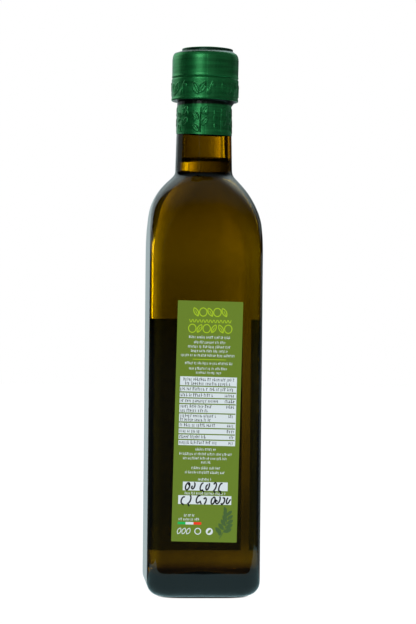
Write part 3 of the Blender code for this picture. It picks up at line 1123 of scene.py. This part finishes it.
def disc_outline(x, y, radius, steps=18, tall=1.0):
    angles_round = np.linspace(0, 2 * math.pi, steps, endpoint=False)
    return [(x + radius * math.cos(a), y + tall * radius * math.sin(a)) for a in angles_round]


LEAF_STEP = 0.3 * INK


def add_sprig(stem_mesh, bead_mesh, label, foot, tip, leaves, leaf_length):
    """A curved stem with leaves in pairs and a few olives. Each leaf is a little thicker than the one before,
    so that no two faces lie in one plane where they overlap."""
    foot, tip = Vector(foot), Vector(tip)
    lean_out = Vector((tip.y - foot.y, foot.x - tip.x)) * 0.12
    stem = [foot.lerp(tip, t) + lean_out * math.sin(math.pi * t) for t in np.linspace(0, 1, 12)]
    add_ribbon(stem_mesh, label, stem, 0.035 * leaf_length * 2)
    stem_lean = math.degrees(math.atan2(tip.x - foot.x, tip.y - foot.y))
    for i in range(leaves):
        share = 0.16 + 0.8 * i / leaves
        root = foot.lerp(tip, share) + lean_out * math.sin(math.pi * share)
        side = 1 if i % 2 else -1
        lean = stem_lean + side * (62 - 34 * share)
        length = leaf_length * (1.0 - 0.35 * share)
        middle = root + Vector((math.sin(math.radians(lean)), math.cos(math.radians(lean)))) * length * 0.56
        drawn = leaf_outline(middle.x, middle.y, length, lean)
        add_plate(stem_mesh, label, drawn, -0.5 * INK, INK + (i + 1) * LEAF_STEP)
        if i % 3 == 1:
            bead = root - Vector((math.sin(math.radians(lean)), 0.35)) * 0.42 * length
            drawn = disc_outline(bead.x, bead.y, 0.15 * leaf_length, 14, 1.25)
            add_plate(bead_mesh, label, drawn, -0.5 * INK, INK + (leaves + 3) * LEAF_STEP)


def add_loop(mesh, label, outline_points, width, lift=0.0):
    """A closed line of even width."""
    add_ribbon(mesh, label, outline_points, width, lift, closed=True)


sprig_foot = (label_across(219, 538), label_up(538))
sprig_tip = (label_across(226, 509), label_up(509))
add_sprig(sprig_mesh, bead_mesh, back_label, sprig_foot, sprig_tip, 11, 4.8)
for column_px in (179.0, 183.6, 188.2):
    drawn = leaf_outline(label_across(column_px, 531), label_up(531), 3.2, 24, 0.26)
    add_loop(white_mesh, back_label, drawn, 0.36)
add_loop(white_mesh, back_label, disc_outline(label_across(197.6, 531), label_up(531), 1.45, 20), 0.45)
round_mark = (label_across(209.2, 531), label_up(531))
add_shape(white_mesh, back_label, disc_outline(*round_mark, 1.75))
add_shape(ground_mesh, back_label, leaf_outline(*round_mark, 2.6, 40), 1)

# %% [markdown]
# In the place of a title stand two lime rows of line ornaments, leaves and olives, as wide
# and as fine as large print would be, with a row of slanting ticks between them.

# %% Draw the title's ornaments
TITLE_ROWS = (
    (192.6, 228.0, 311.5, ("leaf", "olive", "leaf", "olive", "leaf"), 4.6, 1.85),
    (188.6, 231.8, 328.0, ("olive", "leaf", "olive", "leaf", "leaf", "olive"), 4.4, 1.85),
)
TITLE_STROKE_MM = 0.44
TITLE_STEP = 0.2
TICKS_PX = (190.0, 230.6, 320.5, 24)
for left_px, right_px, row_px, kinds, leaf_length, olive_radius in TITLE_ROWS:
    for i, kind in enumerate(kinds):
        column_px = left_px + (right_px - left_px) * (i + 0.5) / len(kinds)
        x, y = label_across(column_px, row_px), label_up(row_px)
        if kind == "olive":
            drawn = disc_outline(x, y, olive_radius, 24, 1.1)
            add_loop(lime_mesh, back_label, drawn, TITLE_STROKE_MM, i * TITLE_STEP)
        else:
            lean = 28 if i % 2 else -28
            drawn = leaf_outline(x, y, leaf_length, lean, 0.22, 11)
            add_loop(lime_mesh, back_label, drawn, TITLE_STROKE_MM, i * TITLE_STEP)
            vein = [(x - 0.42 * leaf_length * math.sin(math.radians(lean)) * t,
                     y - 0.42 * leaf_length * math.cos(math.radians(lean)) * t) for t in (1.0, 0.0, -0.4)]
            add_ribbon(lime_mesh, back_label, vein, 0.7 * TITLE_STROKE_MM, (i + 0.5) * TITLE_STEP)
for i in range(TICKS_PX[3]):
    column_px = TICKS_PX[0] + (TICKS_PX[1] - TICKS_PX[0]) * i / (TICKS_PX[3] - 1)
    x, y = label_across(column_px, TICKS_PX[2]), label_up(TICKS_PX[2])
    slant = 0.28 if i % 2 else -0.28
    add_ribbon(lime_mesh, back_label, [(x - slant, y - 0.75), (x + slant, y + 0.75)], 0.8 * TITLE_STROKE_MM)

# %% Finish the back label's print
def print_piece(name, mesh, ink):
    bmesh.ops.recalc_face_normals(mesh, faces=mesh.faces[:])
    return place_piece(name, mesh, ink)


print_piece("back_print_white", white_mesh, white_ink)
print_piece("back_print_lime", lime_mesh, lime_ink)
print_piece("back_print_pen", pen_mesh, pen_ink)
print_piece("back_print_table", table_mesh, table_ink)
print_piece("back_table_rules", ground_mesh, label_ground)
print_piece("back_print_green", green_mesh, strip_green_ink)
print_piece("back_print_red", red_mesh, red_ink)
print_piece("back_print_sprig", sprig_mesh, leaf_ink)
print_piece("back_print_olives", bead_mesh, leaf_ink)

# %% [markdown]
# The front label can't be seen in the photograph except as a dark shape through the oil.
# It is finished like the back label: the same green film and inks, with a large sprig in
# a frame, a panel of rows and a plain band.

# %% Print the front label
front_white = bmesh.new()
front_lime = bmesh.new()
front_leaf = bmesh.new()
front_olive = bmesh.new()
frame_half_width = FRONT_SIZE[0] / 2 - 2.4
frame_low, frame_high = -14.0, FRONT_SIZE[1] / 2 - 2.6
for low, high in ((frame_low, frame_low + 0.5), (frame_high - 0.5, frame_high)):
    add_bar(front_white, front_label, -frame_half_width, frame_half_width, low, high)
for side in (-1, 1):
    left = side * frame_half_width - 0.25
    add_bar(front_white, front_label, left, left + 0.5, frame_low, frame_high)
add_sprig(front_leaf, front_olive, front_label, (-7.0, -6.0), (5.0, 43.0), 15, 13.0)
add_bar(front_lime, front_label, -FRONT_SIZE[0] / 2 + 1.2, FRONT_SIZE[0] / 2 - 1.2, -28.0, -18.0)
for row, half in ((-33.0, 13.0), (-36.0, 10.0), (-42.0, 14.5), (-44.6, 14.5), (-47.2, 12.0), (-52.0, 6.0)):
    add_type_row(front_white, front_label, -half, half, row, 1.5)
print_piece("front_print_white", front_white, white_ink)
print_piece("front_print_lime", front_lime, lime_ink)
print_piece("front_print_sprig", front_leaf, leaf_ink)
print_piece("front_print_olives", front_olive, lime_ink)

# %% [markdown]
# ## Floor and light
# The bottle stands on a plain white floor before a white background. Dark glass lives by
# what it mirrors and by what shines through it, and the two come from different sides: it
# mirrors a dim studio in front, and lets through a bright wall behind. The sky's shader
# can tell these rays apart and give each its own surroundings, worked out from the
# direction alone, which is quicker and cleaner than building walls.

# %% Lay the floor
def stage_plane(name, left, right, front, back, height):
    """A level rectangle that isn't part of the object."""
    mesh = bmesh.new()
    corners = ((left, front), (right, front), (right, back), (left, back))
    mesh.faces.new([mesh.verts.new((x, y, height)) for x, y in corners])
    data = bpy.data.meshes.new(name)
    mesh.to_mesh(data)
    mesh.free()
    plane = bpy.data.objects.new(name, data)
    bpy.context.scene.collection.objects.link(plane)
    return plane


def set_rays(obj, camera_rays, mirrored_rays, through_rays, scattered_rays):
    """Which rays can see an object."""
    obj.visible_camera = camera_rays
    obj.visible_glossy = mirrored_rays
    obj.visible_transmission = through_rays
    obj.visible_diffuse = scattered_rays


floor = stage_plane("floor", -3.0, 3.0, -3.0, 3.0, 0.0)
floor_finish, _, floor_shader, _ = new_material("pale_floor")
floor_shader.inputs["Base Color"].default_value = (0.02, 0.02, 0.02, 1.0)
floor_shader.inputs["Roughness"].default_value = 0.9
floor_shader.inputs["Emission Color"].default_value = (1.0, 1.0, 1.0, 1.0)
floor_shader.inputs["Emission Strength"].default_value = 1.0
floor.data.materials.append(floor_finish)
set_rays(floor, True, False, False, True)

# %% [markdown]
# A floor that glows shows no shadow, but right under the round heel no light comes in and
# the photograph is dark there. A flat patch with a soft edge, just above the floor and
# inside the bottle's outline, stands for that narrow shadow.

# %% Darken the floor under the heel
HEEL_SHADOW_WIDTH = 21.5 * MM
HEEL_SHADOW_DEPTH = 25.6 * MM
HEEL_SHADOW_FADE = 0.10
patch = stage_plane("heel_shadow", -0.03, 0.03, -0.03, 0.03, 0.02 * MM)
patch_finish = bpy.data.materials.new("heel_shadow")
patch_finish.use_nodes = True
patch_tree = patch_finish.node_tree
patch_tree.nodes.remove(patch_tree.nodes["Principled BSDF"])
patch_place = patch_tree.nodes.new("ShaderNodeTexCoord")
patch_split = patch_tree.nodes.new("ShaderNodeSeparateXYZ")
patch_tree.links.new(patch_place.outputs["Object"], patch_split.inputs[0])
powers = []
for name, half in (("X", HEEL_SHADOW_WIDTH), ("Y", HEEL_SHADOW_DEPTH)):
    part_of_half = math_node(patch_tree, "DIVIDE", math_node(patch_tree, "ABSOLUTE", patch_split.outputs[name]), half)
    powers.append(math_node(patch_tree, "POWER", part_of_half, 5.0))
away = math_node(patch_tree, "POWER", math_node(patch_tree, "ADD", *powers), 1 / 5)
share = math_node(patch_tree, "SUBTRACT", 1 + HEEL_SHADOW_FADE, away)
share = math_node(patch_tree, "DIVIDE", share, HEEL_SHADOW_FADE)
share = math_node(patch_tree, "MINIMUM", math_node(patch_tree, "MAXIMUM", share, 0.0), 1.0)
clear = patch_tree.nodes.new("ShaderNodeBsdfTransparent")
dark = patch_tree.nodes.new("ShaderNodeBsdfDiffuse")
dark.inputs["Color"].default_value = (0.02, 0.03, 0.03, 1.0)
patch_mix = patch_tree.nodes.new("ShaderNodeMixShader")
patch_tree.links.new(share, patch_mix.inputs[0])
patch_tree.links.new(clear.outputs[0], patch_mix.inputs[1])
patch_tree.links.new(dark.outputs[0], patch_mix.inputs[2])
patch_tree.links.new(patch_mix.outputs[0], patch_tree.nodes["Material Output"].inputs["Surface"])
patch.data.materials.append(patch_finish)
set_rays(patch, True, False, False, False)
patch.visible_shadow = False

# %% [markdown]
# The foot of the bottle mirrors the small board that it stands on, and nothing beyond its
# edge: that is the pale band along the bottom of the glass. The board is a second level
# plane that only mirrored rays can see.

# %% Lay the board that the glass mirrors
def glowing(name, colour, strength):
    """A plain glow that doesn't light anything by itself."""
    made = bpy.data.materials.new(name)
    made.use_nodes = True
    tree = made.node_tree
    tree.nodes.remove(tree.nodes["Principled BSDF"])
    glow = tree.nodes.new("ShaderNodeEmission")
    glow.inputs["Color"].default_value = (*colour, 1.0)
    glow.inputs["Strength"].default_value = strength
    tree.links.new(glow.outputs[0], tree.nodes["Material Output"].inputs["Surface"])
    made.cycles.emission_sampling = "NONE"
    return made, tree, glow


board = stage_plane("board", -0.17, 0.26, -0.122, 0.032, -0.5 * MM)
board_glow, _, _ = glowing("board_glow", (0.57, 0.93, 1.0), 0.66)
board.data.materials.append(board_glow)
set_rays(board, False, True, False, False)
board.visible_shadow = False

# %% Measure directions in the sky
world = bpy.data.worlds.new("studio")
bpy.context.scene.world = world
world.use_nodes = True
sky = world.node_tree
background = sky.nodes["Background"]
coordinates = sky.nodes.new("ShaderNodeTexCoord")
split = sky.nodes.new("ShaderNodeSeparateXYZ")
sky.links.new(coordinates.outputs["Generated"], split.inputs[0])
azimuth = math_node(sky, "ARCTAN2", split.outputs["X"], split.outputs["Y"])
azimuth = math_node(sky, "MULTIPLY", azimuth, 180 / math.pi)
elevation = math_node(sky, "ARCSINE", split.outputs["Z"])
elevation = math_node(sky, "MULTIPLY", elevation, 180 / math.pi)


def profile(tree, value, stops):
    """Brightness along a value, from (place, brightness) stops."""
    low, high = stops[0][0], stops[-1][0]
    peak = max(brightness for _, brightness in stops)
    spread = tree.nodes.new("ShaderNodeMapRange")
    spread.inputs["From Min"].default_value = low
    spread.inputs["From Max"].default_value = high
    tree.links.new(value, spread.inputs["Value"])
    ramp = tree.nodes.new("ShaderNodeValToRGB")
    tree.links.new(spread.outputs[0], ramp.inputs[0])
    elements = ramp.color_ramp.elements
    while len(elements) < len(stops):
        elements.new(0.5)
    for element, (place, brightness) in zip(elements, stops):
        element.position = (place - low) / (high - low)
        element.color = (*[brightness / peak] * 3, 1.0)
    return math_node(tree, "MULTIPLY", ramp.outputs[0], peak)


def panel(azimuth_stops, elevation_stops):
    """A patch of the surroundings: one profile round the horizon times one up and down."""
    sides = profile(sky, azimuth, azimuth_stops)
    return math_node(sky, "MULTIPLY", sides, profile(sky, elevation, elevation_stops))


def total(values):
    result = values[0]
    for value in values[1:]:
        result = math_node(sky, "ADD", result, value)
    return result


def flat_top(low, high, soft, strength=1.0):
    """Stops for a level stretch with soft ends."""
    return ((low - soft, 0.0), (low, strength), (high, strength), (high + soft, 0.0))


# %% [markdown]
# Azimuth 0 is straight behind the bottle and grows towards the right. What shines through
# the glass is an even wall, a dark stretch on the left, and a tall bright window on the
# right that ends just under the horizon. It lights up the corner of the bottle and one
# side of the neck.

# %% Describe what shines through
WALL_STOPS = (
    (-180, 1.0), (-75, 1.0), (-60, 0.4), (-34, 0.5), (-16, 0.5), (-11, 0.8), (2, 1.1), (14, 1.3), (60, 0.5),
    (75, 1.0), (180, 1.0),
)
WALL_HEIGHT_STOPS = ((-90, 0.55), (-30, 0.5), (-6, 1.0), (90, 1.0))
WINDOW_STOPS = ((8, 0.0), (11, 6.0), (15, 8.0), (25, 9.0), (27, 41.0), (31, 48.0), (36, 19.0), (40, 8.0), (47, 0.0))
shining_through = total([
    panel(WALL_STOPS, WALL_HEIGHT_STOPS),
    panel(WINDOW_STOPS, ((-8.0, 0.0), (-5.0, 0.03), (-3.5, 0.07), (-1.5, 1.0), (45, 1.0), (60, 0.0))),
])

# %% [markdown]
# What the glass mirrors is mostly dark. The wall close behind it shows in the narrow side
# of the bottle, a lamp high on the right touches the shoulder, a dim ceiling greys the
# steepest parts, and a faint strip stands on the left.

# %% Describe what is mirrored
HIGH_LAMP_STOPS = ((2, 0.0), (16, 0.7), (27, 1.0), (34, 1.0), (41, 0.85), (48, 0.5), (56, 0.22), (64, 0.1), (80, 0.0))
HIGH_LAMP_HEIGHT_STOPS = ((14, 0.0), (22, 0.45), (30, 0.9), (38, 1.1), (50, 1.1), (58, 0.6), (66, 0.25), (74, 0.0))
BACK_LEFT_STOPS = ((-44, 0.0), (-35, 0.7), (-24, 0.85), (-14, 0.75), (-2, 0.0))
BACK_LEFT_HEIGHT_STOPS = ((20, 0.0), (29, 1.0), (46, 1.1), (52, 0.75), (58, 0.3), (66, 0.12), (74, 0.0))
RIGHT_HEIGHT_STOPS = ((-22, 0.0), (-16, 1.0), (2.2, 1.0), (3.2, 0.06), (8.0, 0.06), (9.5, 1.0), (14, 1.0), (20, 0.0))
mirrored = total([
    panel(flat_top(-14, 14, 12, 0.59), ((-30, 0.0), (-18, 1.0), (24, 1.0), (34, 0.0))),
    panel(((-45, 0.0), (-37, 0.8), (-25, 0.7), (-12, 0.0)), ((1, 0.0), (6, 1.0), (21, 1.0), (30, 0.1), (34, 0.0))),
    panel(BACK_LEFT_STOPS, BACK_LEFT_HEIGHT_STOPS),
    panel(HIGH_LAMP_STOPS, HIGH_LAMP_HEIGHT_STOPS),
    panel(((30, 0.0), (44, 0.4), (50, 0.36), (66, 0.12), (72, 0.0)), RIGHT_HEIGHT_STOPS),
    panel(flat_top(-72, -46, 6, 0.26), flat_top(4, 11, 3)),
    panel(flat_top(-158.5, -155.5, 1.0, 0.16), flat_top(2, 30, 2)),
    profile(sky, elevation, ((-90, 0.05), (-1.5, 0.05), (0, 0.0), (38, 0.0), (56, 0.11), (90, 0.15))),
])
MIRRORED_TINT = (0.80, 0.97, 1.0)
DIFFUSE_SKY = 0.95
light_path = sky.nodes.new("ShaderNodeLightPath")


def choose(mask, when_on, when_off):
    """when_on where the mask is 1 and when_off where it is 0."""
    node = sky.nodes.new("ShaderNodeMix")
    sky.links.new(mask, node.inputs["Factor"])
    for socket, value in ((node.inputs["B"], when_on), (node.inputs["A"], when_off)):
        if isinstance(value, float):
            socket.default_value = value
        else:
            sky.links.new(value, socket)
    return node.outputs[0]


strength = choose(light_path.outputs["Is Transmission Ray"], shining_through, mirrored)
strength = choose(light_path.outputs["Is Diffuse Ray"], DIFFUSE_SKY, strength)
strength = choose(light_path.outputs["Is Camera Ray"], 1.0, strength)
sky.links.new(strength, background.inputs["Strength"])
tint = sky.nodes.new("ShaderNodeMix")
tint.data_type = "RGBA"
tint.inputs[6].default_value = (1.0, 1.0, 1.0, 1.0)
tint.inputs[7].default_value = (*MIRRORED_TINT, 1.0)
sky.links.new(light_path.outputs["Is Glossy Ray"], tint.inputs["Factor"])
sky.links.new(tint.outputs[2], background.inputs["Color"])

# %% [markdown]
# The wall isn't evenly lit: it grows brighter towards the window. Because it stands close
# behind the bottle, each part of the glass shows another part of it. A direction alone
# can't say that, so this one piece of wall is a real upright plane that only rays through
# the glass can see.

# %% Stand the near wall behind the bottle
WALL_DISTANCE = 0.150
WALL_LEFT, WALL_RIGHT = -0.060, 0.045
EVEN_STOPS = ((-60, 0.40), (-40, 0.55), (-22, 0.64), (-6, 0.72), (4, 0.86), (12, 1.02), (22, 0.90), (45, 0.85))
EVEN_HEIGHT_STOPS = (
    (-100, 1.3), (2, 1.0), (12, 0.26), (28, 0.28), (45, 0.55), (70, 0.75), (97, 1.0), (140, 1.02), (158, 1.1),
    (170, 1.5), (182, 1.85), (195, 1.95), (214, 1.9), (227, 1.85), (236, 2.5), (300, 2.5),
)
GLOW_STOPS = ((8, 0.0), (12, 0.25), (20, 0.9), (26, 2.0), (31, 3.2), (37, 4.6), (45, 6.4))
GLOW_HEIGHT_STOPS = ((-100, 0.0), (100, 0.15), (130, 0.6), (150, 0.7), (162, 0.45), (172, 0.5), (182, 1.1), (195, 1.5), (214, 2.9), (300, 2.9))
near_wall = stage_plane("near_wall", WALL_LEFT, WALL_RIGHT, -0.10, 0.30, 0.0)
near_wall.matrix_world = (
    Matrix.Rotation(CAMERA_AZIMUTH, 4, "Z")
    @ Matrix.Translation((0.0, WALL_DISTANCE, 0.0))
    @ Matrix.Rotation(math.radians(90), 4, "X")
)
wall_finish, wall_tree, wall_glow = glowing("near_wall_glow", (1.0, 1.0, 1.0), 1.0)
wall_place = wall_tree.nodes.new("ShaderNodeTexCoord")
wall_split = wall_tree.nodes.new("ShaderNodeSeparateXYZ")
wall_tree.links.new(wall_place.outputs["Object"], wall_split.inputs[0])
across_wall = math_node(wall_tree, "MULTIPLY", wall_split.outputs["X"], 1000.0)
up_wall = math_node(wall_tree, "MULTIPLY", wall_split.outputs["Y"], 1000.0)
wall_parts = []
for side_stops, height_stops in ((EVEN_STOPS, EVEN_HEIGHT_STOPS), (GLOW_STOPS, GLOW_HEIGHT_STOPS)):
    part = profile(wall_tree, across_wall, side_stops)
    wall_parts.append(math_node(wall_tree, "MULTIPLY", part, profile(wall_tree, up_wall, height_stops)))
wall_light = math_node(wall_tree, "ADD", *wall_parts)
wall_tree.links.new(wall_light, wall_glow.inputs["Strength"])
near_wall.data.materials.append(wall_finish)
set_rays(near_wall, False, False, True, False)
near_wall.visible_shadow = False

# %% [markdown]
# The satin capsule is lit by two lamps of its own. They are linked to it alone, because in
# the clear glass each would show as a hard bright spot.

# %% Light the capsule
lamp_receivers = bpy.data.collections.new("lit_by_lamps")
lamp_receivers.objects.link(capsule)


def soft_lamp(name, azimuth_degrees, elevation_degrees, distance, size, power):
    """A lamp that faces the capsule. Azimuth 0 is the camera's side, growing to the right."""
    data = bpy.data.lights.new(name, "AREA")
    data.shape = "RECTANGLE"
    data.size, data.size_y = size
    data.energy = power
    lamp = bpy.data.objects.new(name, data)
    bpy.context.scene.collection.objects.link(lamp)
    turn, rise = CAMERA_AZIMUTH + math.radians(azimuth_degrees), math.radians(elevation_degrees)
    away = Vector((math.sin(turn) * math.cos(rise), -math.cos(turn) * math.cos(rise), math.sin(rise)))
    lamp.location = Vector((0.0, 0.0, CAP_FOOT_Z)) + away * distance
    lamp.rotation_mode = "QUATERNION"
    lamp.rotation_quaternion = away.to_track_quat("Z", "Y")
    lamp.visible_camera = False
    lamp.light_linking.receiver_collection = lamp_receivers
    return lamp


soft_lamp("key_lamp", -20, 20, 1.2, (0.40, 0.50), 2.1)
soft_lamp("side_lamp", -118, 24, 1.0, (0.5, 0.6), 0.85)
soft_lamp("fill_lamp", 75, 20, 1.2, (1.2, 0.8), 0.34)
soft_lamp("front_lamp", 22, 15, 1.2, (0.7, 0.8), 0.35)
soft_lamp("top_lamp", 180, 55, 1.0, (0.8, 0.4), 0.8)

# %% Show colours as they are
bpy.context.scene.view_settings.view_transform = "Standard"
bpy.context.scene.view_settings.look = "None"
bpy.context.scene.cycles.max_bounces = 24
bpy.context.scene.cycles.transmission_bounces = 20
bpy.context.scene.cycles.glossy_bounces = 8
